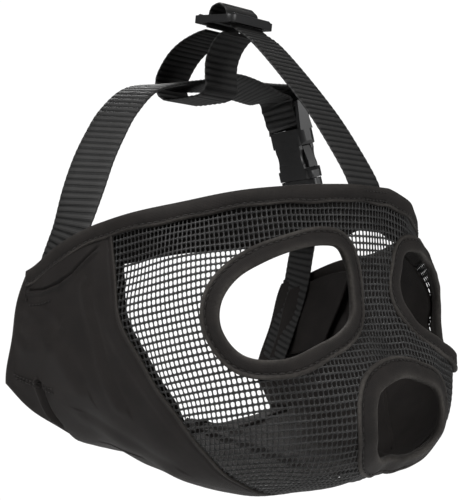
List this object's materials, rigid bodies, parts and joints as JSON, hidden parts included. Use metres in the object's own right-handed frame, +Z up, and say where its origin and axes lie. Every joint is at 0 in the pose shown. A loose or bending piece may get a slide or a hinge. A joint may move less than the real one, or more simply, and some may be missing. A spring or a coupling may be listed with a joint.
{
  "type": "basket muzzle",
  "caption": "Soft muzzle mask for short-snouted dogs: mesh face with taped eye and nose openings, fabric cheeks, chin sling, neck strap with side-release buckle and forehead strap.",
  "frame": {"origin": "middle of the rear opening at the level of the eyes, where the wearer's head comes in; a little behind the widest section", "axes": "+X the way the wearer's nose points, +Y the wearer's left, +Z up; the mask as worn, straps standing as if on a head"},
  "size_m": [0.1478, 0.1628, 0.1981],
  "materials": {
    "cloth": "plain woven nylon, black with a brown cast",
    "mesh": "open knitted mesh, black",
    "tape": "folded binding tape, black",
    "webbing": "ribbed nylon webbing, black",
    "thread": "black sewing thread",
    "plastic": "black moulded acetal, fine matt"
  },
  "bodies": {
    "mask": {"mesh_front_panel": "mesh", "right_side_panel": "cloth", "left_side_panel": "cloth", "chin_sling": "cloth", "right_rear_hem": "cloth", "left_rear_hem": "cloth", "chin_hem": "cloth", "top_binding": "tape", "top_facing": "cloth", "right_cheek_tape": "tape", "left_cheek_tape": "tape", "chin_seam_tape": "tape", "right_eye_binding": "tape", "left_eye_binding": "tape", "nose_binding": "tape", "neck_strap_right": "webbing", "neck_strap_tail": "webbing", "neck_strap_left": "webbing", "right_anchor_patch": "cloth", "left_anchor_patch": "cloth", "forehead_strap": "webbing", "forehead_loop": "webbing", "buckle_female": "plastic", "right_anchor_stitches": "thread", "left_anchor_stitches": "thread", "brow_anchor_stitches": "thread"},
    "glide": {"tri_glide": "plastic"},
    "buckle_plug": {"buckle_male": "plastic"},
    "plug_front_prong": {"front_prong": "plastic"},
    "plug_rear_prong": {"rear_prong": "plastic"}
  },
  "joints": [
    {"name": "buckle_release", "type": "slide", "parent": "mask", "child": "buckle_plug", "axis": [0.0626, 0.2511, -0.9659], "range_m": [0, 0.02], "deforming": ["neck_strap_left", "front_prong", "rear_prong"]},
    {"name": "front_prong_squeeze", "type": "hinge", "parent": "buckle_plug", "child": "plug_front_prong", "pos_m": [0.02039, 0.07224, 0.05971], "axis": [-0.2337, -0.9372, -0.2588], "range_deg": [0, 12], "stiffness_Nm_per_rad": 0.05},
    {"name": "rear_prong_squeeze", "type": "hinge", "parent": "buckle_plug", "child": "plug_rear_prong", "pos_m": [0.00564, 0.07591, 0.05971], "axis": [0.2337, 0.9372, 0.2588], "range_deg": [0, 12], "stiffness_Nm_per_rad": 0.05},
    {"name": "tri_glide_slide", "type": "slide", "parent": "mask", "child": "glide", "axis": [0.7547, 0, -0.6561], "range_m": [-0.006, 0.01], "deforming": ["forehead_strap", "forehead_loop"]}
  ]
}
